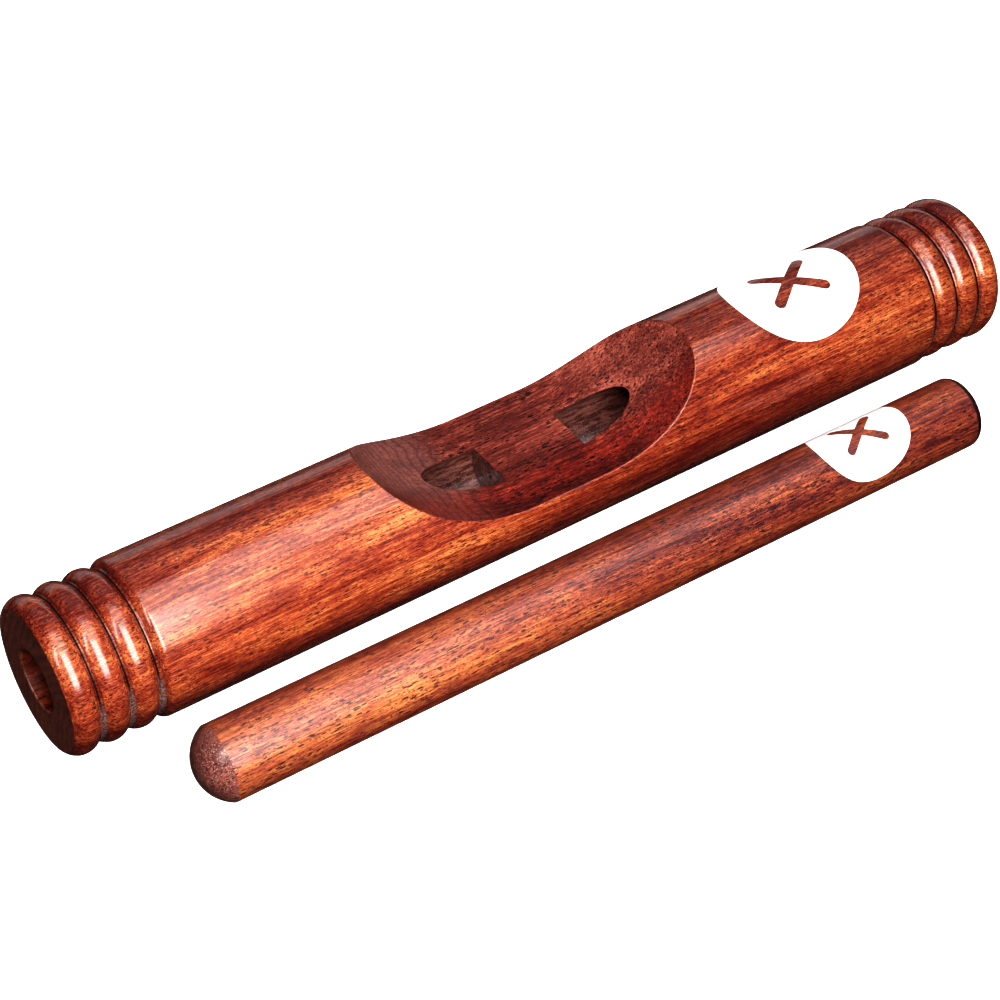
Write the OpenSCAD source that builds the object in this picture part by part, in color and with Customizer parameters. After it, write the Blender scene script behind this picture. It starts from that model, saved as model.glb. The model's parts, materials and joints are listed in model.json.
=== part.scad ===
// Claves: a hollow, scooped clave lying on its back beside the solid striker that plays it.
// X runs along the hollow clave and Z is up. The origin is on the surface that the pair
// lies on, under the middle of the pair.

/* [Hollow clave] */
// Length of the hollow clave
body_l = 305; // [260:5:350]
// Diameter of its barrel
body_d = 44; // [42:1:48]
// Diameter of the bore drilled in from each end
bore_d = 17.2; // [15:0.2:19]
// Solid wood between the scoop's middle and the end of the left bore
bridge_left = 12.9; // [8:0.1:16]
// Solid wood between the scoop's middle and the end of the right bore
bridge_right = 13.3; // [8:0.1:16]
// Radius of the flat ring at each end
face_r = 20.1; // [18:0.1:20.5]

/* [Beads and grooves] */
// Distance between neighbouring grooves
bead_pitch = 8.2; // [8:0.1:9]
// Distance from the end face to the crest of the first bead
first_crest = 3.9; // [3.5:0.1:4.5]
// Radius of a bead's round back
bead_r = 4.8; // [4.5:0.1:6]
// How far the crests lie below the barrel
crest_drop = 0.2; // [0:0.1:0.5]
// Width of a groove's flat floor
groove_w = 1.8; // [1.2:0.1:2.4]
// Depth of a groove's floor below the crests
groove_depth = 1.8; // [1.6:0.1:2.2]
// Radius of the barrel's shoulder beside the last groove
shoulder_r = 2.4; // [1:0.1:3]

/* [Scoop] */
// Middle of the scoop along the clave, from its centre
scoop_at = -2.4; // [-10:0.1:10]
// Height of the scoop's flat floor above the clave's axis
scoop_floor = 4; // [2:0.1:6]
// Length of the flat floor
scoop_flat = 21.2; // [10:0.1:30]
// Radius of the rise at the left of the floor
scoop_r_left = 59; // [50:1:70]
// Radius of the rise at the right of the floor
scoop_r_right = 54; // [50:1:70]

/* [Striker] */
// Length of the striker
striker_l = 250; // [200:5:260]
// Diameter of the striker
striker_d = 21.2; // [18:0.2:24]
// Height of its domed tip
dome_h = 6.6; // [4:0.1:8]
// Chamfer round its flat end
end_chamfer = 1.2; // [0.5:0.1:2]
// Free space between the clave and the striker's tip
gap = 7.8; // [4:0.1:20]
// Angle that the striker lies at beside the clave
striker_turn = -0.54; // [-2:0.01:0]
// Distance from the clave's left end to the striker's tip
striker_inset = 21.6; // [10:0.1:40]

/* [Labels] */
// Radius of the clave's label
body_label_r = 20.5; // [14:0.1:22]
// Distance from the clave's right end to the middle of its label
body_label_at = 65; // [55:1:75]
// Radius of the striker's label
striker_label_r = 15.3; // [10:0.1:15.5]
// Distance from the striker's flat end to the middle of its label
striker_label_at = 39.2; // [25:0.1:60]
// Thickness of a label
label_t = 0.12; // [0.1:0.01:0.3]

/* [Hidden] */
$fn = 96;
eps = 0.02;

body_r = body_d / 2;
bore_r = bore_d / 2;
striker_r = striker_d / 2;
crest_r = body_r - crest_drop;
floor_r = crest_r - groove_depth;
bead_half = (bead_pitch - groove_w) / 2;
bead_count = 3;

// The spur of the drill leaves a small cone in the middle of each bore's end wall.
spur_r = 1.2;
spur_h = 1.1;

// The dome is part of a ball that meets the shaft at a crisp ring.
dome_r = (striker_r * striker_r + dome_h * dome_h) / (2 * dome_h);

// The pair is centred on Y: the striker's flat end reaches furthest towards -Y.
striker_dx = cos(striker_turn);
striker_dy = sin(striker_turn);
tip_x = striker_inset - body_l / 2;
tip_y = -body_r - gap - striker_r;
reach_y = tip_y + (striker_l - end_chamfer) * striker_dy - striker_r * striker_dx;
body_y = -(reach_y + body_r) / 2;

// Points of an arc round [cx, cy].
function arc(cx, cy, r, from, to, steps) =
    [for (i = [0:steps]) let (a = from + (to - from) * i / steps) [cx + r * cos(a), cy + r * sin(a)]];

// One bead's back, as [distance from the end face, radius], between distances left and right of its crest.
function bead(crest, left, right) =
    arc(crest, crest_r - bead_r, bead_r, 90 + asin(left / bead_r), 90 - asin(right / bead_r), 10);

// The first bead runs down to the rim of the flat end face.
first_left = min(first_crest, sqrt(bead_r * bead_r - pow(bead_r - crest_r + face_r, 2)));

// Grooves lie between the beads, and the last one between the third bead and the barrel.
function groove_at(i) = first_crest + bead_pitch * (i + 0.5);

// Outline of one turned end from its face to the barrel.
end_outline = concat(
    [[0, face_r]],
    [for (i = [0:bead_count - 1]) each concat(
        bead(first_crest + i * bead_pitch, i == 0 ? first_left : bead_half, bead_half),
        [[groove_at(i) - groove_w / 2, floor_r], [groove_at(i) + groove_w / 2, floor_r]])],
    arc(groove_at(bead_count - 1) + groove_w / 2 + shoulder_r, body_r - shoulder_r, shoulder_r,
        150, 90, 6));

// Where a flat shape lands on a cylinder of radius r when it is wrapped round it, seen from above.
function wrapped(p, r) = [p.x, r * sin(p.y / r * 180 / PI)];

// A shape turned about Z's vertical outline and laid along +X from the origin.
module lathe_x() {
    rotate([90, 0, 90]) rotate_extrude() children();
}

// Half of the barrel's section, from one end face to the other.
module body_section() {
    left = [for (p = end_outline) [p.y, p.x - body_l / 2]];
    right = [for (i = [len(left) - 1:-1:0]) [left[i].x, -left[i].y]];
    polygon(concat([[0, -body_l / 2]], left, right, [[0, body_l / 2]]));
}

// A bore from the end face at x = 0 into the wood towards +X, with the drill's spur mark.
module bore(depth) {
    rotate([0, 90, 0]) {
        translate([0, 0, -1]) cylinder(h = depth + 1, r = bore_r);
        translate([0, 0, depth - eps]) cylinder(h = spur_h, r1 = spur_r, r2 = 0);
    }
}

// The wood taken out by the scoop: two drums and the block that joins them.
module scoop() {
    wide = body_d + 4;
    for (side = [[-1, scoop_r_left], [1, scoop_r_right]])
        translate([side.x * scoop_flat / 2, wide / 2, scoop_floor - eps + side.y])
            rotate([90, 0, 0]) cylinder(h = wide, r = side.y);
    translate([-scoop_flat / 2, -wide / 2, scoop_floor]) cube([scoop_flat, wide, body_d]);
}

// The motif: two crossed sticks, as flat corner points for a label of radius r.
module crossed_sticks(r, on_r) {
    stick_l = 1.16 * r;
    stick_w = 0.17 * r;
    for (turn = [-38, 38])
        polygon([for (c = [[-1, -1], [0, -1], [1, -1], [1, 1], [0, 1], [-1, 1]])
            let (u = c.x * stick_l / 2, v = c.y * stick_w / 2)
            wrapped([u * cos(turn) - v * sin(turn), u * sin(turn) + v * cos(turn)], on_r)]);
}

// A round label wrapped over the top of a cylinder along X, with the motif cut out.
module label(r, on_r) {
    intersection() {
        rotate([0, 90, 0]) difference() {
            cylinder(h = 2 * r + 2, r = on_r + label_t, center = true);
            cylinder(h = 2 * r + 4, r = on_r, center = true);
        }
        linear_extrude(height = on_r + 1) difference() {
            polygon([for (a = [0:6:354]) wrapped([r * cos(a), r * sin(a)], on_r)]);
            crossed_sticks(r, on_r);
        }
    }
}

// The clave's own frame: its axis along X, its middle at the origin.
module place_body() {
    translate([0, body_y, body_r]) children();
}

// The striker's own frame: its axis along X, its domed tip at the origin.
module place_striker() {
    translate([tip_x, body_y + tip_y, striker_r]) rotate([0, 0, striker_turn]) children();
}

module clave_body() {
    color([0.50, 0.16, 0.08]) place_body() difference() {
        lathe_x() body_section();
        translate([-body_l / 2, 0, 0]) bore(body_l / 2 + scoop_at - bridge_left);
        translate([body_l / 2, 0, 0]) mirror([1, 0, 0]) bore(body_l / 2 - scoop_at - bridge_right);
        translate([scoop_at, 0, 0]) scoop();
    }
}

module striker() {
    color([0.56, 0.21, 0.10]) place_striker() {
        lathe_x() intersection() {
            union() {
                translate([0, dome_h]) square([striker_r, striker_l - dome_h - end_chamfer]);
                translate([0, dome_r]) circle(r = dome_r);
                polygon([[0, striker_l - end_chamfer - 1], [striker_r, striker_l - end_chamfer - 1],
                         [striker_r, striker_l - end_chamfer],
                         [striker_r - end_chamfer, striker_l], [0, striker_l]]);
            }
            square([striker_r, striker_l]);
        }
    }
}

module clave_label() {
    color("white") place_body()
        translate([body_l / 2 - body_label_at, 0, 0]) label(body_label_r, body_r);
}

module striker_label() {
    color("white") place_striker()
        translate([striker_l - striker_label_at, 0, 0]) label(striker_label_r, striker_r);
}

clave_body();
striker();
clave_label();
striker_label();
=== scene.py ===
import json
import math

import bpy
import numpy as np
from mathutils import Matrix, Vector
from mathutils.geometry import delaunay_2d_cdt


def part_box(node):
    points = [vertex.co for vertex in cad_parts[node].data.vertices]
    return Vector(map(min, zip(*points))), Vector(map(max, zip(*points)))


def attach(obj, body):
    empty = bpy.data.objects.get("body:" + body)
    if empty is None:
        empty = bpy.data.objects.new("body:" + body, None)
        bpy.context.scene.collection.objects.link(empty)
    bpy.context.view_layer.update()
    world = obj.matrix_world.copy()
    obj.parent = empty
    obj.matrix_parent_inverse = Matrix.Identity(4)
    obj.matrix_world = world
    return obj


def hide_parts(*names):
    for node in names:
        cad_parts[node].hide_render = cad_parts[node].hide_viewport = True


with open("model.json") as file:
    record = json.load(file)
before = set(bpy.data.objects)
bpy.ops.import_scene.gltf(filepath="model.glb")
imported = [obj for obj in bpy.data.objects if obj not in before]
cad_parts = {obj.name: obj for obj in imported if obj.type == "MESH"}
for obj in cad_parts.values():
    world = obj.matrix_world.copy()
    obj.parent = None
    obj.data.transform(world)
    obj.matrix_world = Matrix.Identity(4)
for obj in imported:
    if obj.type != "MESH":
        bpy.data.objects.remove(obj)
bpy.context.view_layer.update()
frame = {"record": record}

mounts = {mount["name"]: mount for mount in frame["record"]["mounts"]}
MM = 0.001

# ---------------------------------------------------------------- sizes taken from the frame
body_low, body_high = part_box("clave_body")
BODY_L = body_high.x - body_low.x
BODY_R = (body_high.z - body_low.z) / 2
BODY_AT = (body_low + body_high) / 2
BORE_R = mounts["bore_left"]["dims"]["r_mm"] * MM
# Where each bore ends, from the clave's middle: -1 is the left bore and 1 the right one.
BORE_END = {
    -1: -BODY_L / 2 + mounts["bore_left"]["dims"]["length_mm"] * MM,
    1: BODY_L / 2 - mounts["bore_right"]["dims"]["length_mm"] * MM,
}
striker_low, striker_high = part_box("striker")
STRIKER_R = (striker_high.z - striker_low.z) / 2

# ---------------------------------------------------------------- the hollow clave's details
FIRST_CREST = 3.9 * MM
BEAD_PITCH = 8.2 * MM
BEAD_R = 4.8 * MM
CREST_R = BODY_R - 0.2 * MM
GROOVE_W = 1.8 * MM
GROOVE_DEPTH = 1.8 * MM
SHOULDER_R = 2.4 * MM
BEADS = 3
SCOOP_AT = -2.4 * MM
SCOOP_FLOOR = 4 * MM
SCOOP_FLAT = 21.2 * MM
DRUM_R = {-1: 59 * MM, 1: 54 * MM}
RIM_EASE = 0.6 * MM
HOLE_EASE = 0.2 * MM
MOUTH_EASE = 0.5 * MM
FACE_EASE = 0.5 * MM
SPUR_R = 1.2 * MM
SPUR_H = 1.1 * MM

# ---------------------------------------------------------------- the striker's details
STRIKER_L = 250 * MM
STRIKER_TURN = math.radians(-0.54)
DOME_H = 6.6 * MM
RING_EASE = 0.3 * MM
END_EASE = 2.6 * MM

# ---------------------------------------------------------------- the labels
# A label stands this high on its wood, and reaches this far into it.
LABEL_T = 0.1 * MM
LABEL_SUNK = 0.02 * MM
CLAVE_LABEL_R = 20.5 * MM
CLAVE_LABEL_AT = BODY_L / 2 - 65 * MM
STRIKER_LABEL_R = 15.3 * MM
STRIKER_LABEL_AT = STRIKER_L - 39.2 * MM

# The crossed sticks: half their length and width, as shares of a label's radius, and their turn from X.
STICK_REACH = 0.58
STICK_HALF_W = 0.085
STICK_TURN = 38
STICK_CAP_POINTS = 13

# ---------------------------------------------------------------- how fine the meshes are
# The angles of the points round a stick, and round the mark of the drill's spur.
AROUND = np.linspace(-math.pi, math.pi, 161)
SPUR_AROUND = AROUND[::5]
BARREL_STEP = 8 * MM
SCOOP_STEP = 1.6 * MM
RIM_STEP = 0.9 * MM
HOLE_STEP = 0.7 * MM
CROSSING_SAMPLES = 500
CHORD_POINTS = 24
BORE_STEP = 2.5 * MM
BORE_WALL_STEP = 1.2 * MM
LABEL_STEP = 1.3 * MM
LABEL_EDGE_POINTS = 144
MOTIF_STEP = 0.7 * MM
# How far the bore's last stretch, which the sound hole opens, reaches past the hole's tip.
BORE_LAP = 2 * MM
# Points in one cell of this size are welded. The shift keeps round numbers off the cells' borders.
WELD = 1e-6
WELD_SHIFT = 0.3137
# Corners of a flat sheet that are nearer than this, in millimetres, are one corner.
FLAT_SNAP = 1e-7


# ---------------------------------------------------------------- mesh making
def unit(v):
    return v / np.linalg.norm(v, axis=-1, keepdims=True)


def round_x(x, radius, angle):
    """Points round the X axis. The angle runs from +Z towards -Y."""
    x, radius, angle = np.broadcast_arrays(x, radius, angle)
    return np.stack([x, -radius * np.sin(angle), radius * np.cos(angle)], axis=-1)


def arc(centre, radius, start, end, count, hollow=False):
    """A smooth run of count steps along an arc, its angles in degrees: (points, normals)."""
    angle = np.radians(np.linspace(start, end, count + 1))
    out = np.stack([np.cos(angle), np.sin(angle)], axis=-1)
    return np.array(centre) + radius * out, -out if hollow else out


def line(start, end):
    """A straight run, with its normal on the left of its way: (points, normals)."""
    along = unit(np.array(end) - np.array(start))
    return np.array([start, end]), np.array([[-along[1], along[0]]] * 2)


def within(points, loop):
    """Which flat points lie inside a closed loop."""
    inside = np.zeros(len(points), dtype=bool)
    x, y = points[:, 0], points[:, 1]
    for (x0, y0), (x1, y1) in zip(loop, np.roll(loop, -1, axis=0)):
        if y0 != y1:
            crosses = (y0 > y) != (y1 > y)
            inside ^= crosses & (x < (x1 - x0) * (y - y0) / (y1 - y0) + x0)
    return inside


def within_all(points, loops):
    """Which flat points lie inside the first loop and outside the others."""
    inside = within(points, loops[0])
    for hole in loops[1:]:
        inside &= ~within(points, hole)
    return inside


class Skin:
    """Gathers the patches of one mesh. Each face corner keeps the true surface's normal there."""

    def __init__(self):
        self.points, self.normals, self.faces, self.kinds = [], [], [], []
        self.count = 0

    def add(self, points, normals, faces, kind):
        """Adds faces of one kind, each turned the way that its corners' normals point."""
        faces = np.array(faces)
        p = points[faces]
        out = np.cross(p[:, 1] - p[:, 0], p[:, 2] - p[:, 0])
        if faces.shape[1] == 4:
            out = out + np.cross(p[:, 2] - p[:, 0], p[:, 3] - p[:, 0])
        wrong = (out * normals[faces].sum(axis=1)).sum(axis=1) < 0
        faces[wrong] = faces[wrong][:, ::-1]
        self.faces += (faces + self.count).tolist()
        self.kinds += [kind] * len(faces)
        self.points.append(points)
        self.normals.append(normals)
        self.count += len(points)

    def strip(self, points, normals, kind):
        """Joins neighbouring rows of points with quads."""
        rows, columns = points.shape[:2]
        normals = np.broadcast_to(normals, points.shape)
        index = np.arange(rows * columns).reshape(rows, columns)
        quads = np.stack([index[:-1, :-1], index[:-1, 1:], index[1:, 1:], index[1:, :-1]], axis=-1)
        self.add(points.reshape(-1, 3), normals.reshape(-1, 3), quads.reshape(-1, 4), kind)

    def lathe(self, run, kind, start=0.0, way=1):
        """Turns a run of (distance, radius) about the X axis, from x = start along X or against it."""
        points, normals = run
        self.strip(
            round_x(start + way * points[:, :1], points[:, 1:], AROUND[None, :]),
            round_x(way * normals[:, :1], normals[:, 1:], AROUND[None, :]), kind)

    def sheet(self, loops, fill, place, kind, stretch=1.0, gap=0.35 * MM):
        """Fills the first flat loop, less the others, with triangles. The flat points of fill are used as
        well, where they lie further than gap from the loops. place() gives the points and normals where
        flat points land. Stretch scales the first flat axis while the triangles are chosen."""
        scale = np.array([stretch, 1.0])
        flat = np.vstack(loops)
        fill = fill[within_all(fill, loops)]
        near = np.min([np.linalg.norm((fill - p) * scale, axis=1) for p in flat], axis=0)
        every = np.vstack([flat, fill[near > gap]])
        edges, start = [], 0
        for loop in loops:
            edges += [(start + i, start + (i + 1) % len(loop)) for i in range(len(loop))]
            start += len(loop)
        corners = [Vector(p) for p in every * scale / MM]
        result = delaunay_2d_cdt(corners, edges, [], 0, FLAT_SNAP, True)
        source = [ids[0] if ids else -1 for ids in result[3]]
        faces = np.array([[source[i] for i in face] for face in result[2]])
        faces = faces[within_all(every[faces].mean(axis=1), loops)]
        points, normals = place(every)
        self.add(points, normals, faces, kind)

    def build(self, name, materials):
        """Welds the patches where they meet, and makes the object with its corner normals kept."""
        points, normals = np.vstack(self.points), unit(np.vstack(self.normals))
        cells = np.round(points / WELD + WELD_SHIFT).astype(np.int64)
        _, first, where = np.unique(cells, axis=0, return_index=True, return_inverse=True)
        where = where.reshape(-1)
        faces, kinds, corners = [], [], []
        for face, kind in zip(self.faces, self.kinds):
            kept = [i for n, i in enumerate(face) if where[i] != where[face[n - 1]]]
            if len({where[i] for i in kept}) > 2:
                faces.append([int(where[i]) for i in kept])
                kinds.append(kind)
                corners += kept
        mesh = bpy.data.meshes.new(name)
        mesh.from_pydata(points[first].tolist(), [], faces)
        for material in materials:
            mesh.materials.append(material)
        mesh.polygons.foreach_set("material_index", kinds)
        mesh.polygons.foreach_set("use_smooth", [True] * len(faces))
        mesh.normals_split_custom_set(normals[corners].tolist())
        mesh.update()
        piece = bpy.data.objects.new(name, mesh)
        bpy.context.scene.collection.objects.link(piece)
        return piece


def grid(xs, ys):
    """Flat points at every crossing of xs and ys."""
    return np.stack(np.meshgrid(xs, ys), axis=-1).reshape(-1, 2)


def steps(start, end, step):
    """Even places from start to end, about step apart."""
    return np.linspace(start, end, max(2, int(round(abs(end - start) / step)) + 1))


def rolled(centre, radius, normal_a, normal_b, count):
    """The round that a ball leaves on an edge, as rows of points and normals from face a to face b."""
    turn = np.linspace(0, 1, count + 1)[:, None, None]
    normals = unit((1 - turn) * normal_a + turn * normal_b)
    return centre + radius * normals, normals


# ---------------------------------------------------------------- the hollow clave's mesh
GLOSS, FACE, SCOOP, BORE, GROOVE = range(5)


def scoop_drum(x):
    """The drum that shapes the scoop at x: (its radius, its side, how far x is past the flat floor)."""
    side = np.where(x < SCOOP_AT, -1, 1)
    drum = np.where(side < 0, DRUM_R[-1], DRUM_R[1])
    return drum, side, np.clip(np.abs(x - SCOOP_AT) - SCOOP_FLAT / 2, 0, None)


def scoop_height(x, inset=0.0):
    """Height above the axis of the scoop's floor, or of the surface that far under it."""
    drum, _, off = scoop_drum(x)
    return SCOOP_FLOOR + drum - np.sqrt((drum + inset) ** 2 - off ** 2)


def scoop_normal(x, inset=0.0):
    """The way out of the wood at the scoop's floor, or at the surface that far under it."""
    drum, side, off = scoop_drum(x)
    return np.stack([-side * off, 0 * off, np.sqrt((drum + inset) ** 2 - off ** 2)], axis=-1) / (
        drum + inset)[..., None]


def scoop_tip(radius, side, inset=0.0):
    """Where a cylinder of that radius round the axis first meets the scoop, at its left or right tip."""
    drum = DRUM_R[side]
    off = math.sqrt((drum + inset) ** 2 - (SCOOP_FLOOR + drum - radius) ** 2)
    return SCOOP_AT + side * (SCOOP_FLAT / 2 + off)


def crossing(radius, side, inset, end, step):
    """The line where a cylinder round the axis comes through the scoop, from its tip to x = end."""
    tip = scoop_tip(radius, side, inset)

    def at(turn):
        x = tip + (end - tip) * (1 - np.cos(turn))
        return x, np.arccos(np.clip(scoop_height(x, inset) / radius, -1, 1)) * (turn > 0)

    turn = np.linspace(0, math.pi / 2, CROSSING_SAMPLES)
    x, angle = at(turn)
    pieces = np.linalg.norm(np.diff(round_x(x, radius, angle), axis=0), axis=1)
    along = np.concatenate([[0], np.cumsum(pieces)])
    return at(np.interp(steps(0, along[-1], step), along, turn))


def end_runs(side):
    """The turned profile of one end, from inside the bore round to the barrel: (run, kind) in order."""
    mouth, bore = MOUTH_EASE, BORE_R
    bead_at, bead_low = FIRST_CREST, CREST_R - BEAD_R
    ease_up = bead_low + math.sqrt((BEAD_R - FACE_EASE) ** 2 - (bead_at - FACE_EASE) ** 2)
    ease_turn = math.degrees(math.atan2(ease_up - bead_low, FACE_EASE - bead_at))
    half = (BEAD_PITCH - GROOVE_W) / 2
    flank = math.degrees(math.asin(half / BEAD_R))
    top = bead_low + math.sqrt(BEAD_R ** 2 - half ** 2)
    start = BODY_L / 2 - abs(scoop_tip(bore, side)) - BORE_LAP
    runs = [
        (line((start, bore), (mouth, bore)), BORE),
        (arc((mouth, bore + mouth), mouth, 270, 180, count=4), FACE),
        (line((0, bore + mouth), (0, ease_up)), FACE),
        (arc((FACE_EASE, ease_up), FACE_EASE, 180, ease_turn, count=4), GLOSS),
    ]
    for i in range(BEADS):
        crest = bead_at + i * BEAD_PITCH
        bead_start = ease_turn if i == 0 else 90 + flank
        runs.append((arc((crest, bead_low), BEAD_R, bead_start, 90 - flank, count=14), GLOSS))
        left, right = crest + half, crest + half + GROOVE_W
        if i == BEADS - 1:
            shoulder = (right + SHOULDER_R, BODY_R - SHOULDER_R)
            shoulder_turn = 180 - math.degrees(math.asin((top - shoulder[1]) / SHOULDER_R))
            right = shoulder[0] + SHOULDER_R * math.cos(math.radians(shoulder_turn))
        runs.append((channel(left, right, top, top - CREST_R + GROOVE_DEPTH), GROOVE))
    runs.append((arc(shoulder, SHOULDER_R, shoulder_turn, 90, count=7), GLOSS))
    return runs


def channel(left, right, top, depth):
    """A groove's rounded floor, between two places at one height: (points, normals)."""
    half = (right - left) / 2
    radius = (half ** 2 + depth ** 2) / (2 * depth)
    lean = math.degrees(math.asin(half / radius))
    centre = ((left + right) / 2, top - depth + radius)
    return arc(centre, radius, 270 - lean, 270 + lean, count=12, hollow=True)


def on_cylinder(radius, inward=False):
    """place() for a sheet that wraps round a cylinder: its flat points are (x, arc length)."""
    def place(flat):
        angle = flat[:, 1] / radius
        out = round_x(0.0, 1.0, angle)
        return round_x(flat[:, 0], radius, angle), -out if inward else out
    return place


def add_barrel(skin, rim):
    """The barrel between its shoulders, with the scoop's rim cut out."""
    end = BODY_L / 2 - end_runs(1)[-1][0][0][-1, 0]
    seam, across = steps(-end, end, BARREL_STEP), AROUND * BODY_R
    edge = across[-1]
    outline = np.vstack([
        grid([-end], across), grid(seam[1:-1], [edge]),
        grid([end], across[::-1]), grid(seam[-2:0:-1], [-edge])])
    fill = grid(seam[1:-1], across[1:-1])
    skin.sheet([outline, rim], fill, on_cylinder(BODY_R), GLOSS, stretch=0.1)


def add_rim(skin):
    """The scoop's eased rim. Returns its line on the unrolled barrel, and on the scoop from above."""
    radius, ease = BODY_R - RIM_EASE, RIM_EASE
    left_x, left_a = crossing(radius, -1, ease, SCOOP_AT, RIM_STEP)
    right_x, right_a = crossing(radius, 1, ease, SCOOP_AT, RIM_STEP)
    x = np.concatenate([left_x, right_x[-2::-1]])
    a = np.concatenate([left_a, right_a[-2::-1]])
    x, a = np.concatenate([x, x[-2::-1]]), np.concatenate([a, -a[-2::-1]])
    points, normals = rolled(
        round_x(x, radius, a), ease, round_x(0.0, 1.0, a), scoop_normal(x, ease), count=5)
    skin.strip(points, normals, GLOSS)
    barrel = np.stack([x, a * BODY_R], axis=-1)[:-1]
    return barrel, points[-1, :-1, :2]


def add_hole(skin, side):
    """One sound hole's eased edge and the bore's end below it. Returns the hole's line on the scoop."""
    radius, ease, wall = BORE_R + HOLE_EASE, HOLE_EASE, BORE_END[side]
    x, a = crossing(radius, side, ease, wall, HOLE_STEP)
    x, a = np.concatenate([x[::-1], x[1:]]), np.concatenate([a[::-1], -a[1:]])
    curved, curved_n = rolled(
        round_x(x, radius, a), ease, round_x(0.0, -1.0, a), scoop_normal(x, ease), count=3)
    start = np.array([wall - side * ease, 0.0, float(scoop_height(np.array([wall]), ease)[0])])
    starts, along = np.tile(start, (CHORD_POINTS, 1)), np.array([side, 0.0, 0.0])
    straight, straight_n = rolled(starts, ease, along, scoop_normal(np.array([wall]), ease), count=3)
    straight[:, :, 1] = np.linspace(curved[:, -1, 1], curved[:, 0, 1], CHORD_POINTS, axis=1)
    for near, far in ((0, -1), (-1, 0)):
        curved[:, near, 0] = straight[:, far, 0]
        straight[:, far, 2] = curved[:, near, 2]
    skin.strip(curved, curved_n, SCOOP)
    skin.strip(straight, straight_n, SCOOP)
    add_bore_end(skin, side, curved[0], a, straight[0])
    return np.vstack([curved[-1], straight[-1, 1:-1]])[:, :2]


def add_bore_end(skin, side, notch, notch_a, chord):
    """The last stretch of a bore, which the scoop opens above, and its end wall with the spur's mark."""
    wall = BORE_END[side]
    start = scoop_tip(BORE_R, side) + side * BORE_LAP
    seam, edge = steps(start, wall, BORE_STEP), math.pi * BORE_R
    below = AROUND[AROUND > notch_a[0]]
    outline = np.vstack([
        grid([start], AROUND * BORE_R), grid(seam[1:-1], [edge]),
        grid([wall], below[::-1] * BORE_R), np.stack([notch[:, 0], notch_a * BORE_R], axis=-1),
        grid([wall], -below * BORE_R), grid(seam[-2:0:-1], [-edge])])
    fill = grid(seam[1:-1], AROUND[1:-1] * BORE_R)
    inside = on_cylinder(BORE_R, inward=True)
    skin.sheet([outline], fill, inside, BORE, stretch=0.25, gap=0.2 * MM)

    def place(flat):
        x = np.full(len(flat), wall)
        return np.column_stack([x, flat]), np.tile([float(side), 0.0, 0.0], (len(flat), 1))

    low = round_x(0.0, BORE_R, np.concatenate([-below, below[-2::-1]]))[:, 1:]
    spur = round_x(0.0, SPUR_R, SPUR_AROUND[:-1])[:, 1:]
    across = steps(-BORE_R, BORE_R, BORE_WALL_STEP)
    skin.sheet([np.vstack([chord[::-1, 1:], low]), spur], grid(across, across), place, BORE)
    tip = np.array([wall - side * SPUR_H, 0.0, 0.0])
    slope = unit(np.array([SPUR_R, SPUR_H]))
    base = round_x(wall, SPUR_R, SPUR_AROUND)
    skin.strip(
        np.stack([base, np.tile(tip, (len(base), 1))]),
        np.tile(round_x(side * slope[0], -slope[1], SPUR_AROUND), (2, 1, 1)), BORE)


def make_clave_body(materials):
    """The whole hollow clave as one closed mesh."""
    skin = Skin()
    for side in (-1, 1):
        for run, kind in end_runs(side):
            skin.lathe(run, kind, start=side * BODY_L / 2, way=-side)
    barrel_rim, scoop_rim = add_rim(skin)
    add_barrel(skin, barrel_rim)
    holes = [add_hole(skin, side) for side in (-1, 1)]

    def place(flat):
        x = flat[:, 0]
        return np.column_stack([flat, scoop_height(x)]), scoop_normal(x)

    tips = [scoop_tip(BODY_R, side) for side in (-1, 1)]
    fill = grid(steps(*tips, SCOOP_STEP), steps(-BODY_R, BODY_R, SCOOP_STEP))
    skin.sheet([scoop_rim] + holes, fill, place, SCOOP)
    piece = skin.build("hollow_clave_wood", materials)
    piece.matrix_world = Matrix.Translation(BODY_AT)
    return piece


# ---------------------------------------------------------------- the striker's mesh
SHAFT, DOME, END = range(3)


def striker_matrix():
    """The striker's own frame: its axis along X and its tip at the origin."""
    away = STRIKER_R * math.cos(STRIKER_TURN) + DOME_H * math.sin(STRIKER_TURN)
    tip = Vector((striker_low.x, striker_high.y - away, STRIKER_R))
    return Matrix.Translation(tip) @ Matrix.Rotation(STRIKER_TURN, 4, "Z")


def make_striker(materials):
    """The striker as one closed mesh: its dome, the eased ring, the shaft and the eased flat end."""
    ball = (STRIKER_R ** 2 + DOME_H ** 2) / (2 * DOME_H)
    ring_at = ball - math.sqrt((ball - RING_EASE) ** 2 - (STRIKER_R - RING_EASE) ** 2)
    ring_turn = math.degrees(math.atan2(STRIKER_R - RING_EASE, ring_at - ball))
    skin = Skin()
    skin.lathe(arc((ball, 0), ball, 180, ring_turn, count=20), DOME)
    skin.lathe(arc((ring_at, STRIKER_R - RING_EASE), RING_EASE, ring_turn, 90, count=3), SHAFT)
    skin.lathe(line((ring_at, STRIKER_R), (STRIKER_L - END_EASE, STRIKER_R)), SHAFT)
    skin.lathe(arc((STRIKER_L - END_EASE, STRIKER_R - END_EASE), END_EASE, 90, 0, count=6), END)
    skin.lathe(line((STRIKER_L, STRIKER_R - END_EASE), (STRIKER_L, 0)), END)
    piece = skin.build("striker_wood", materials)
    piece.matrix_world = striker_matrix()
    return piece


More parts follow.
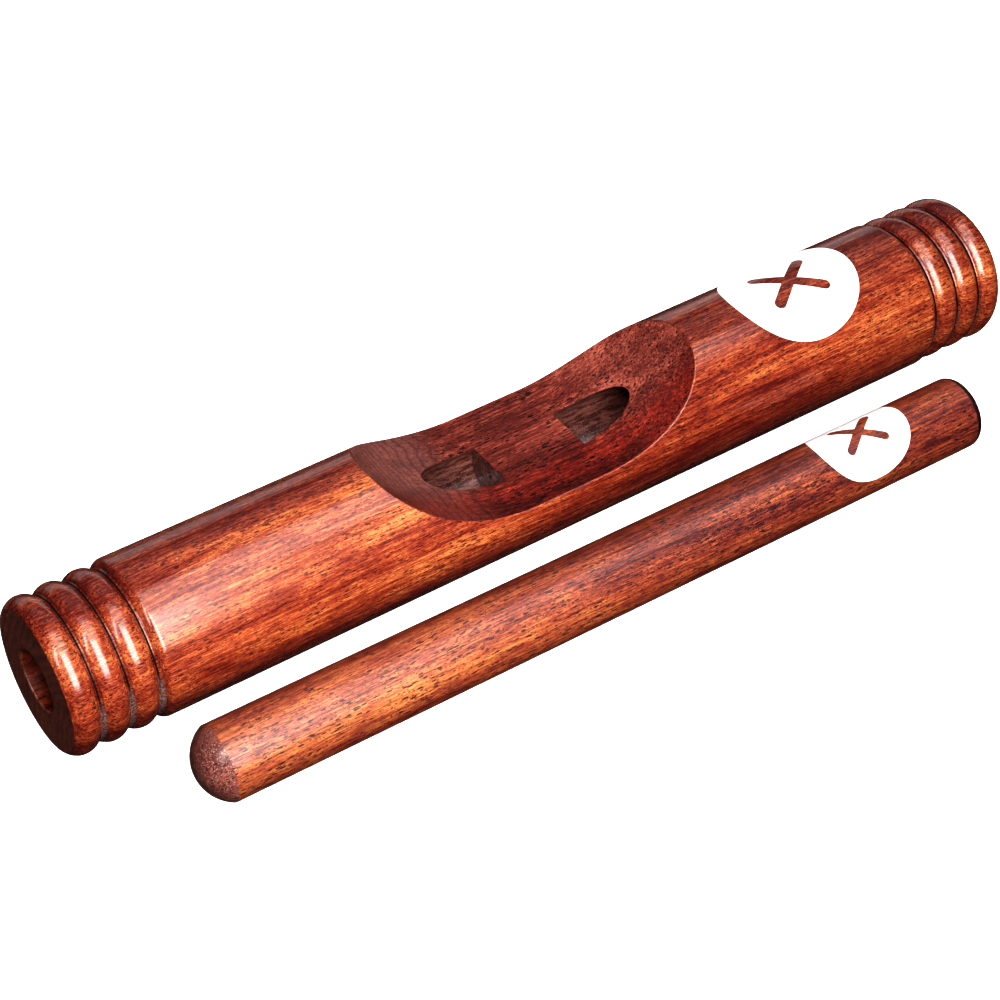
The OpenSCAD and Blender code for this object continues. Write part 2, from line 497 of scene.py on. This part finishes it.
# ---------------------------------------------------------------- the labels
def crossed_sticks(radius):
    """The outline of two crossed sticks with round ends, on a flat label of that radius."""
    reach, half_w = STICK_REACH * radius, STICK_HALF_W * radius
    turns = np.radians([STICK_TURN, 180 - STICK_TURN, 180 + STICK_TURN, 360 - STICK_TURN])
    loop = []
    for here, after in zip(turns, np.append(turns[1:], turns[0] + 2 * math.pi)):
        centre = (reach - half_w) * np.array([math.cos(here), math.sin(here)])
        cap = here + np.radians(np.linspace(-90, 90, STICK_CAP_POINTS))
        loop += [centre + half_w * np.array([math.cos(a), math.sin(a)]) for a in cap]
        far, middle = half_w / math.sin((after - here) / 2), (here + after) / 2
        loop.append(far * np.array([math.cos(middle), math.sin(middle)]))
    return np.array(loop)


def closer(loop, step):
    """The same closed loop with more points on its long sides."""
    out = []
    for start, end in zip(loop, np.roll(loop, -1, axis=0)):
        count = max(1, int(round(np.linalg.norm(end - start) / step)))
        out += [start + (end - start) * i / count for i in range(count)]
    return np.array(out)


def make_label(name, radius, at, on_radius, materials):
    """A round label wrapped over the top of a cylinder, with the crossed sticks cut out of it."""
    skin = Skin()
    turn = np.linspace(0, 2 * math.pi, LABEL_EDGE_POINTS, endpoint=False)
    outer = radius * np.stack([np.cos(turn), np.sin(turn)], axis=-1)
    loops = [outer, closer(crossed_sticks(radius), MOTIF_STEP)]
    across = steps(-radius, radius, LABEL_STEP)
    fill = grid(across, across)

    def layer(height, out):
        def place(flat):
            angle = flat[:, 1] / on_radius
            return round_x(at + flat[:, 0], on_radius + height, angle), out * round_x(0.0, 1.0, angle)
        return place

    skin.sheet(loops, fill, layer(LABEL_T, 1), 0)
    skin.sheet(loops, fill, layer(-LABEL_SUNK, -1), 0)
    for loop, out in zip(loops, (1, -1)):
        closed = np.vstack([loop, loop[:1]])
        along = unit(np.roll(loop, -1, axis=0) - np.roll(loop, 1, axis=0))
        along = np.vstack([along, along[:1]])
        angle = closed[:, 1] / on_radius
        side = out * np.stack([along[:, 1], -along[:, 0]], axis=-1)
        normals = side[:, :1] * [1.0, 0.0, 0.0] + side[:, 1:] * round_x(0.0, 1.0, angle + math.pi / 2)
        rows = [round_x(at + closed[:, 0], on_radius + h, angle) for h in (-LABEL_SUNK, LABEL_T)]
        skin.strip(np.stack(rows), np.stack([normals, normals]), 0)
    return skin.build(name, materials)


# ---------------------------------------------------------------- materials
# Where in the endless wood each stick is cut, in millimetres.
CLAVE_SEED = (0.0, 40.0, 15.0)
STRIKER_SEED = (300.0, -70.0, 55.0)


class Finish:
    """A material and its nodes. Positions in its textures are in millimetres in the piece's own frame."""

    def __init__(self, name, seed=(0.0, 0.0, 0.0)):
        self.material = bpy.data.materials.new(name)
        self.material.use_nodes = True
        self.tree = self.material.node_tree
        self.surface = self.tree.nodes["Principled BSDF"]
        where = self.node("TexCoord", out=3)
        self.plain = self.node("Vector Math", {0: where, 1: (1000.0,) * 3}, operation="MULTIPLY")
        self.at = self.node("Vector Math", {0: self.plain, 1: seed}, operation="ADD")
        self.x = self.node("Separate XYZ", {0: self.plain}, out=0)
        self.y = self.node("Separate XYZ", {0: self.plain}, out=1)
        self.z = self.node("Separate XYZ", {0: self.plain}, out=2)

    def node(self, kind, inputs=(), out=0, **settings):
        """Makes a node, fills its inputs by number or name, and returns one of its outputs."""
        node = self.tree.nodes.new("ShaderNode" + kind.replace(" ", ""))
        for key, value in settings.items():
            setattr(node, key, value)
        for key, value in dict(inputs).items():
            self.put(node.inputs[key], value)
        return node.outputs[out]

    def put(self, socket, value):
        """Gives an input a number, a colour or another node's output."""
        if isinstance(value, bpy.types.NodeSocket):
            self.tree.links.new(value, socket)
        else:
            socket.default_value = value

    def set(self, **inputs):
        """Sets the surface's sockets. An underscore stands for a space."""
        for key, value in inputs.items():
            self.put(self.surface.inputs[key.replace("_", " ")], value)

    def math(self, operation, a, b=0.0):
        return self.node("Math", {0: a, 1: b}, operation=operation)

    def fit(self, value, low, high, to_low=0.0, to_high=1.0):
        """value, from low..high to to_low..to_high, eased at both ends and held beyond them."""
        return self.node(
            "MapRange", {0: value, 1: low, 2: high, 3: to_low, 4: to_high},
            interpolation_type="SMOOTHSTEP")

    def total(self, *values):
        """The sum of some values."""
        result = values[0]
        for value in values[1:]:
            result = self.math("ADD", result, value)
        return result

    def mix(self, factor, a, b, mode="MIX"):
        """Colour a where the factor is 0 and b where it is 1."""
        return self.node("Mix", {0: factor, 6: a, 7: b}, out=2, data_type="RGBA", blend_type=mode)

    def from_axis(self, at):
        """Distance from the X axis."""
        flat = self.node("Vector Math", {0: at, 1: (0.0, 1.0, 1.0)}, operation="MULTIPLY")
        return self.node("Vector Math", {0: flat}, out=1, operation="LENGTH")

    def scaled(self, scale, at=None):
        """The place in the wood, with each axis scaled."""
        return self.node("Vector Math", {0: at or self.at, 1: scale}, operation="MULTIPLY")

    def noise(self, scale, detail=2.0, roughness=0.5, at=None, out=0):
        place = self.scaled(scale, at)
        sockets = {"Vector": place, "Scale": 1.0, "Detail": detail, "Roughness": roughness}
        return self.node("Tex Noise", sockets, out=out)

    def cells(self, scale, at=None):
        return self.node("Tex Voronoi", {"Vector": self.scaled(scale, at), "Scale": 1.0}, out=0)

    def ramp(self, factor, stops):
        """A colour for each factor, from stops of (place, colour)."""
        ramp = self.tree.nodes.new("ShaderNodeValToRGB")
        ramp.color_ramp.elements.remove(ramp.color_ramp.elements[1])
        for n, (place, colour) in enumerate(stops):
            element = ramp.color_ramp.elements[0] if n == 0 else ramp.color_ramp.elements.new(place)
            element.position, element.color = place, (*colour, 1.0)
        self.tree.links.new(factor, ramp.inputs[0])
        return ramp.outputs[0]

    def bump(self, height, distance):
        sockets = {"Strength": 1.0, "Distance": distance, "Height": height}
        self.set(Normal=self.node("Bump", sockets))


def grain(finish, pore_size):
    """Wood that grows along X: its tone, from 0 to 1, and how far a pore or fine line darkens it."""
    drift = finish.noise((0.006, 0.018, 0.018), 1.0, out=1)
    ripple = finish.noise((0.35, 1.1, 1.1), 1.0, out=1)
    drift = finish.node("Vector Math", {0: drift, 1: (0.0, 9.0, 9.0)}, operation="MULTIPLY")
    ripple = finish.node("Vector Math", {0: ripple, 1: (0.7, 0.24, 0.24)}, operation="MULTIPLY")
    at = finish.node("Vector Math", {0: finish.at, 1: drift}, operation="ADD")
    at = finish.node("Vector Math", {0: at, 1: ripple}, operation="ADD")
    bands = finish.noise((0.010, 0.14, 0.14), 2.0, 0.5, at)
    ribbon = finish.noise((0.08, 0.16, 0.16), 3.0, 0.6, at)
    streaks = finish.noise((0.035, 1.2, 1.2), 3.0, 0.6, at)
    fibres = finish.noise((0.22, 2.6, 2.6), 2.0, 0.7, at)
    specks = finish.noise((0.9, 3.6, 3.6), 1.0, 0.6, at)
    tone = finish.math("MULTIPLY", bands, 0.20)
    for layer, share in ((ribbon, 0.16), (streaks, 0.26), (fibres, 0.24), (specks, 0.14)):
        tone = finish.math("ADD", tone, finish.math("MULTIPLY", layer, share))
    thick = finish.fit(ribbon, 0.35, 0.65, 0.19, 0.30)
    long_pores = finish.cells(np.array([1 / 4.2, 1 / 1.05, 1 / 1.05]) / pore_size, at)
    short_pores = finish.cells(np.array([1 / 1.5, 1 / 0.68, 1 / 0.68]) / pore_size, at)
    long_pores = finish.fit(finish.math("SUBTRACT", long_pores, thick), -0.04, 0.02, 1.0, 0.0)
    short_pores = finish.fit(finish.math("SUBTRACT", short_pores, thick), -0.04, 0.05, 0.8, 0.0)
    lines = finish.fit(finish.noise((0.08, 4.4, 4.4), 1.0, 0.5, at), 0.31, 0.43, 0.7, 0.0)
    pores = finish.math("MAXIMUM", long_pores, short_pores)
    return tone, finish.math("MAXIMUM", pores, lines)


def wood(name, seed, dark, middle, light, pore, pore_depth, shift=None, pore_size=1.0):
    """A finish of grained wood, with its colour set. shift(finish) moves its tone from place to place.
    Returns the finish with its tone, pores and colour."""
    finish = Finish(name, seed)
    tone, pores = grain(finish, pore_size)
    if shift:
        tone = finish.math("ADD", tone, shift(finish))
    colour = finish.ramp(tone, [(0.408, dark), (0.50, middle), (0.62, light)])
    colour = finish.mix(finish.math("MULTIPLY", pores, pore_depth), colour, (*pore, 1.0))
    finish.set(Base_Color=colour)
    return finish, tone, pores, colour


def clave_tone_and_painted_shade(finish):
    """The clave's tone, with painted shade: a dark band along its top and darker low on its sides.
    Painted light on the front of its right end, with painted shade above it there; darker right of the
    scoop."""
    angle = finish.math("ARCTAN2", finish.math("MULTIPLY", finish.y, -1.0), finish.z)
    from_top = finish.math("ABSOLUTE", finish.math("ADD", angle, 0.27))
    from_up = finish.math("ABSOLUTE", angle)
    # Painted shade: a dark band along the top, where the lamps leave the wood dim.
    top = finish.math(
        "MULTIPLY", finish.fit(from_top, 0.24, 0.48, 1.0, 0.0),
        finish.fit(finish.x, -60.0, 60.0, -0.058, -0.046))
    # Painted light on the front of the right end, and painted shade over its top.
    right_end_painted_light_and_shade = finish.math(
        "MULTIPLY", finish.fit(finish.x, 75.0, 110.0), finish.fit(angle, 0.2, 0.9, -0.018, 0.036))
    # Painted shade low on the sides, past about 80 degrees from the top; and a darker tone right of the
    # scoop.
    return finish.total(
        top, finish.fit(from_up, 1.40, 1.90, 0.0, -0.050),
        finish.fit(finish.x, -45.0, 25.0, 0.0, -0.020), right_end_painted_light_and_shade)


def gloss_wood():
    """The barrel and its beads, under a clear lacquer."""
    # Its tone carries painted shade along the top and low on the sides, and painted light on the right
    # end's front.
    finish, _, pores, _ = wood(
        "lacquered_wood", CLAVE_SEED, dark=(0.090, 0.013, 0.011), middle=(0.26, 0.060, 0.028),
        light=(0.54, 0.228, 0.088), pore=(0.036, 0.008, 0.010), pore_depth=0.82, shift=clave_tone_and_painted_shade,
        pore_size=0.78)
    finish.set(
        Roughness=0.5, Coat_Weight=1.0, Coat_Roughness=0.20, Coat_IOR=1.5, Specular_IOR_Level=0.1)
    level = finish.noise((0.02, 0.05, 0.05), 2.0)
    sunk = finish.math("MULTIPLY", pores, 0.05)
    finish.bump(finish.math("SUBTRACT", finish.math("MULTIPLY", level, 0.6), sunk), 0.25 * MM)
    return finish.material


def face_wood():
    """The end faces: dark end grain with faint growth rings, under lacquer."""
    finish, _, pores, colour = wood(
        "end_grain", CLAVE_SEED, dark=(0.11, 0.036, 0.023), middle=(0.21, 0.066, 0.043),
        light=(0.33, 0.115, 0.075), pore=(0.040, 0.013, 0.010), pore_depth=0.9)
    out = finish.math("MULTIPLY", finish.from_axis(finish.at), 2.4)
    wander = finish.math("MULTIPLY", finish.noise((0.1, 0.12, 0.12), 2.0), 14.0)
    rings = finish.fit(finish.math("SINE", finish.total(out, wander)), -0.2, 1.0, 0.0, 0.45)
    finish.set(
        Base_Color=finish.mix(rings, colour, (0.05, 0.016, 0.012, 1)), Roughness=0.5,
        Coat_Weight=0.4, Coat_Roughness=0.3)
    finish.bump(pores, -0.03 * MM)
    return finish.material


def scoop_tone_and_painted_sheen(finish):
    """The scoop's tone: painted shade in front and painted sheen at the back; darker left of its middle,
    lighter on its right rise and darker near its right tip.
    """
    # Along y: painted shade in front and painted sheen at the back.
    return finish.total(
        finish.fit(finish.y, -15.0, 10.0, -0.020, 0.018), finish.fit(finish.x, 0.0, 22.0, -0.012, 0.022),
        finish.fit(finish.x, 26.0, 40.0, 0.0, -0.020))


def scoop_wood():
    """The scoop, sanded and left satin, paler on its left slope, with painted sheen at its back and on its
    right rise and painted shade in front. Growth rings show as contour lines where its left side slopes.
    """
    finish, tone, pores, colour = wood(
        "scoop_wood", CLAVE_SEED, dark=(0.040, 0.008, 0.007), middle=(0.150, 0.033, 0.024),
        light=(0.44, 0.140, 0.094), pore=(0.010, 0.003, 0.003), pore_depth=0.95, shift=scoop_tone_and_painted_sheen)
    # Paler grey-brown on the left slope, and a painted sheen on the right rise.
    paler_and_painted_sheen = finish.total(
        finish.fit(finish.x, -34.0, -20.0, 0.55, 0.0), finish.fit(finish.x, 14.0, 30.0, 0.0, 0.12))
    pale = finish.mix(tone, (0.042, 0.015, 0.013, 1), (0.30, 0.148, 0.128, 1))
    colour = finish.mix(paler_and_painted_sheen, colour, pale)
    # Painted shade: the front of the scoop deeper and redder, with no sheen.
    near = finish.fit(finish.y, -14.0, -2.0, 0.7, 0.0)
    colour = finish.mix(near, colour, (0.90, 0.28, 0.18, 1), mode="MULTIPLY")
    wander = finish.noise((0.03, 0.10, 0.10), 2.0)
    depth = finish.total(finish.math("MULTIPLY", finish.z, 5.6), finish.math("MULTIPLY", wander, 13.0))
    rings = finish.fit(finish.math("SINE", depth), 0.35, 0.98, 0.0, 0.40)
    slope = finish.fit(finish.x, -30.0, -14.0, 1.0, 0.0)
    colour = finish.mix(finish.math("MULTIPLY", rings, slope), colour, (0.030, 0.008, 0.007, 1))
    finish.set(
        Base_Color=colour, Roughness=0.5, Coat_Weight=0.12, Coat_Roughness=0.34, Specular_IOR_Level=0.15)
    scratches = finish.math("MULTIPLY", finish.noise((0.4, 3.5, 0.4), 2.0, 0.7), 0.9)
    finish.bump(finish.math("SUBTRACT", scratches, pores), 0.09 * MM)
    return finish.material


def bore_wood():
    """The bores: orange by the mouth, browner, streaked and specked towards the middle."""
    finish, _, pores, colour = wood(
        "bore_wood", CLAVE_SEED, dark=(0.055, 0.009, 0.006), middle=(0.16, 0.030, 0.012),
        light=(0.34, 0.090, 0.028), pore=(0.012, 0.004, 0.004), pore_depth=0.9)
    deep = finish.fit(finish.math("ABSOLUTE", finish.x), 60.0, 125.0, 1.0, 0.0)
    streaks = finish.fit(finish.noise((0.22, 1.1, 1.1), 3.0, 0.7), 0.40, 0.62)
    brown = finish.mix(streaks, (0.056, 0.017, 0.014, 1), (0.185, 0.078, 0.062, 1))
    specks = finish.fit(finish.cells((1.2, 1.7, 1.7)), 0.10, 0.24, 0.7, 0.0)
    brown = finish.mix(specks, brown, (0.34, 0.25, 0.20, 1))
    finish.set(
        Base_Color=finish.mix(deep, colour, brown), Roughness=0.40, Coat_Weight=0.7, Coat_Roughness=0.22)
    finish.bump(finish.total(pores, finish.noise((0.8, 0.5, 0.5), 3.0, 0.7)), -0.12 * MM)
    return finish.material


def groove_wood():
    """The grooves: lacquer on their walls, painted shade that makes them nearly black at the bottom, and
    a grey dusting low down, thickest in the left end's grooves."""
    # The tone carries the clave's painted shade and painted light, as on the barrel.
    finish, _, _, colour = wood(
        "groove_wood", CLAVE_SEED, dark=(0.070, 0.010, 0.009), middle=(0.19, 0.040, 0.020),
        light=(0.40, 0.13, 0.050), pore=(0.026, 0.007, 0.009), pore_depth=0.9, shift=clave_tone_and_painted_shade)
    first_crest, half_pitch = (BODY_L / 2 - FIRST_CREST) / MM, BEAD_PITCH / MM / 2
    inward = finish.math("SUBTRACT", first_crest, finish.math("ABSOLUTE", finish.x))
    off = finish.math("PINGPONG", finish.math("ADD", inward, half_pitch), half_pitch)
    wall = finish.fit(off, 0.10, 0.42)
    dust = finish.fit(finish.noise((1.6, 1.6, 1.6), 3.0, 0.7), 0.40, 0.62, 0.15, 1.0)
    dust = finish.math("MULTIPLY", dust, finish.fit(finish.z, -1.0, 6.0, 0.9, 0.03))
    dust = finish.math("MULTIPLY", dust, finish.fit(finish.x, -20.0, 20.0, 1.0, 0.25))
    # Painted shade: the groove's bottom nearly black, where the beads shut out the light.
    colour = finish.mix(wall, (0.010, 0.004, 0.003, 1), colour)
    finish.set(
        Base_Color=finish.mix(dust, colour, (0.20, 0.155, 0.145, 1)), Roughness=0.6,
        Coat_Weight=finish.math("MULTIPLY", wall, finish.math("SUBTRACT", 1.0, dust)),
        Coat_Roughness=0.20, Specular_IOR_Level=0.05)
    finish.bump(finish.noise((2.2, 2.2, 2.2), 3.0, 0.7), 0.06 * MM)
    return finish.material


def striker_shift(finish):
    """The striker's wood is lighter towards its dome, and deeper towards its flat end."""
    return finish.fit(finish.x, 60.0, 190.0, 0.014, -0.038)


def striker_wood(name, dark, middle, light, pore, roughness, coat, coat_roughness, dusty=False, rim=False):
    """The striker, more satin than the clave. Its dome is dusty, and its flat end has a nearly black rim
    of painted shade.
    """
    finish, _, pores, colour = wood(
        name, STRIKER_SEED, dark, middle, light, pore, pore_depth=0.88, shift=striker_shift,
        pore_size=0.86)
    finish.set(
        Roughness=roughness, Coat_Weight=coat, Coat_Roughness=coat_roughness, Specular_IOR_Level=0.35)
    frost = finish.noise((2.4, 2.4, 2.4), 2.0, 0.7)
    if dusty:
        specks = finish.fit(frost, 0.52, 0.70, 0.0, 0.75)
        finish.set(Base_Color=finish.mix(specks, colour, (0.42, 0.30, 0.26, 1)))
    if rim:
        # Painted shade: the flat end's rounded rim nearly black.
        painted_rim_shade = finish.fit(finish.from_axis(finish.plain), 6.6, 8.6)
        finish.set(Base_Color=finish.mix(painted_rim_shade, colour, (0.022, 0.006, 0.004, 1)))
    finish.bump(finish.math("SUBTRACT", finish.math("MULTIPLY", frost, 0.5), pores), 0.06 * MM)
    return finish.material


def label_white():
    """The labels: white, nearly matt film."""
    finish = Finish("label_white")
    cloud = finish.noise((0.08, 0.08, 0.08), 2.0)
    white = finish.mix(cloud, (0.88, 0.88, 0.89, 1), (0.93, 0.93, 0.93, 1))
    finish.set(Base_Color=white, Roughness=0.42)
    finish.bump(finish.noise((2.5, 2.5, 2.5), 2.0), 0.01 * MM)
    return finish.material


def floor_white():
    """The studio floor: pale and matt, with a glow of its own so that it is white from every side."""
    finish = Finish("studio_floor")
    cloud = finish.noise((0.004, 0.004, 0.004), 2.0)
    white = finish.mix(cloud, (0.88, 0.88, 0.88, 1), (0.90, 0.90, 0.90, 1))
    finish.set(
        Base_Color=white, Roughness=0.7, Specular_IOR_Level=0.1,
        Emission_Color=(1, 1, 1, 1), Emission_Strength=0.55)
    return finish.material


# ---------------------------------------------------------------- the pieces
clave = make_clave_body([gloss_wood(), face_wood(), scoop_wood(), bore_wood(), groove_wood()])
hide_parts("clave_body")
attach(clave, "hollow_clave")

striker = make_striker([
    striker_wood(
        "striker_shaft", dark=(0.070, 0.013, 0.013), middle=(0.235, 0.058, 0.031),
        light=(0.46, 0.200, 0.072), pore=(0.024, 0.006, 0.010), roughness=0.45, coat=0.5,
        coat_roughness=0.28),
    striker_wood(
        "striker_dome", dark=(0.075, 0.020, 0.018), middle=(0.15, 0.046, 0.036),
        light=(0.27, 0.10, 0.075), pore=(0.030, 0.010, 0.012), roughness=0.45, coat=1.0,
        coat_roughness=0.30, dusty=True),
    # The flat end: brown wood with a nearly black rim of painted shade.
    striker_wood(
        "striker_end", dark=(0.11, 0.030, 0.022), middle=(0.19, 0.060, 0.042),
        light=(0.31, 0.115, 0.080), pore=(0.030, 0.010, 0.010), roughness=0.55, coat=0.2,
        coat_roughness=0.40, rim=True)])
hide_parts("striker")
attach(striker, "striker_stick")

white = label_white()
clave_label = make_label("clave_label_film", CLAVE_LABEL_R, CLAVE_LABEL_AT, BODY_R, [white])
clave_label.matrix_world = Matrix.Translation(BODY_AT)
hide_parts("clave_label")
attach(clave_label, "hollow_clave")

striker_label = make_label("striker_label_film", STRIKER_LABEL_R, STRIKER_LABEL_AT, STRIKER_R, [white])
striker_label.matrix_world = striker_matrix()
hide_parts("striker_label")
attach(striker_label, "striker_stick")


# ---------------------------------------------------------------- the studio
def direction(azimuth, elevation):
    """The way from the object to something. Azimuth 0 is +Y and 90 is +X."""
    a, e = math.radians(azimuth), math.radians(elevation)
    return Vector((math.sin(a) * math.cos(e), math.cos(a) * math.cos(e), math.sin(e)))


def soft_light(name, place, aim, width, height, power, turn=0.0, sheen=True, fill=True):
    """A soft box at a place, facing a point, with its power in watts. Width is level, unless it is turned
    about its beam. Without sheen it isn't reflected, and without fill it is only reflected."""
    light = bpy.data.lights.new(name, "AREA")
    light.shape, light.size, light.size_y = "RECTANGLE", width, height
    light.energy = power
    lamp = bpy.data.objects.new(name, light)
    bpy.context.scene.collection.objects.link(lamp)
    facing = (Vector(aim) - Vector(place)).to_track_quat("-Z", "Y")
    lamp.matrix_world = Matrix.Translation(place) @ (
        facing.to_matrix().to_4x4() @ Matrix.Rotation(math.radians(turn), 4, "Z"))
    lamp.visible_glossy, lamp.visible_diffuse = sheen, fill


def add_lights():
    """The key and the left box light the wood from the front, and two weaker boxes, which don't show in
    its lacquer, from the back and the right. The boxes without fill draw the soft sheen along the top."""
    middle, down = Vector((0.0, 0.0, BODY_R)), Vector((0, 0, -1))
    above, behind = Vector((0.10, -0.17, 1.0)), Vector((0.45, 0.75, 0.85))
    soft_light("overhead", above, above + down, width=1.1, height=0.66, power=6.6, fill=False)
    soft_light("behind", behind, behind + down, width=2.0, height=0.9, power=2.6, turn=-14.0, fill=False)
    soft_light("backdrop", (0.6, 1.5, 0.20), (0, 0, 0.1), width=2.6, height=0.65, power=3.3, fill=False)
    key, left = middle + 0.62 * direction(196, 40), middle + 0.9 * direction(252, 42)
    soft_light("key", key, middle + Vector((-0.08, 0, 0)), width=0.40, height=0.56, power=7.6)
    soft_light("left", left, middle, width=0.12, height=0.55, power=2.4)
    back, right = middle + 0.9 * direction(12, 9), middle + 0.9 * direction(80, 14)
    soft_light("back_fill", back, middle, width=1.2, height=0.25, power=6.5, sheen=False)
    soft_light("right_fill", right, middle, width=0.4, height=0.4, power=2.4, sheen=False)
    world = bpy.data.worlds.new("studio")
    world.use_nodes = True
    around = world.node_tree.nodes["Background"].inputs
    around["Color"].default_value, around["Strength"].default_value = (1, 1, 1, 1), 0.04
    bpy.context.scene.world = world


def add_floor():
    """A pale round floor that curves up into a wall all round. It stays out of reflections and throws
    no light back."""
    radius, bend, wall, sides = 4.0, 1.0, 4.0, 64
    rise = np.radians(range(0, 91, 9))
    profile = [(radius - bend + bend * math.sin(a), bend - bend * math.cos(a)) for a in rise]
    profile.append((radius, wall))
    turns = [2 * math.pi * n / sides for n in range(sides)]
    points = [(r * math.cos(t), r * math.sin(t), z) for r, z in profile for t in turns]
    faces = [tuple(range(sides))]
    for row in range(len(profile) - 1):
        for n in range(sides):
            a, b = row * sides + n, row * sides + (n + 1) % sides
            faces.append((a, b, b + sides, a + sides))
    mesh = bpy.data.meshes.new("studio_floor")
    mesh.from_pydata(points, [], faces)
    mesh.polygons.foreach_set("use_smooth", [False] + [True] * (len(faces) - 1))
    mesh.materials.append(floor_white())
    floor = bpy.data.objects.new("studio_floor", mesh)
    bpy.context.scene.collection.objects.link(floor)
    floor.visible_glossy = False
    floor.visible_diffuse = False


def add_camera():
    """The camera looks down on the pair from the left front."""
    azimuth, elevation, distance = -34.51, 42.15, 0.698
    aim = BODY_AT + Vector((-18.7, -10.0, 0.0)) * MM
    camera = bpy.data.objects.new("camera", bpy.data.cameras.new("camera"))
    bpy.context.scene.collection.objects.link(camera)
    back = direction(180 - azimuth, elevation)
    camera.location = aim + distance * back
    camera.rotation_mode = "QUATERNION"
    camera.rotation_quaternion = (-back).to_track_quat("-Z", "Y")
    camera.data.sensor_width, camera.data.lens = 36.0, 93.27
    camera.data.clip_start, camera.data.clip_end = 0.01, 20.0
    bpy.context.scene.camera = camera


add_lights()
add_floor()
add_camera()
bpy.context.scene.view_settings.view_transform = "Standard"
bpy.context.scene.view_settings.look = "Very High Contrast"
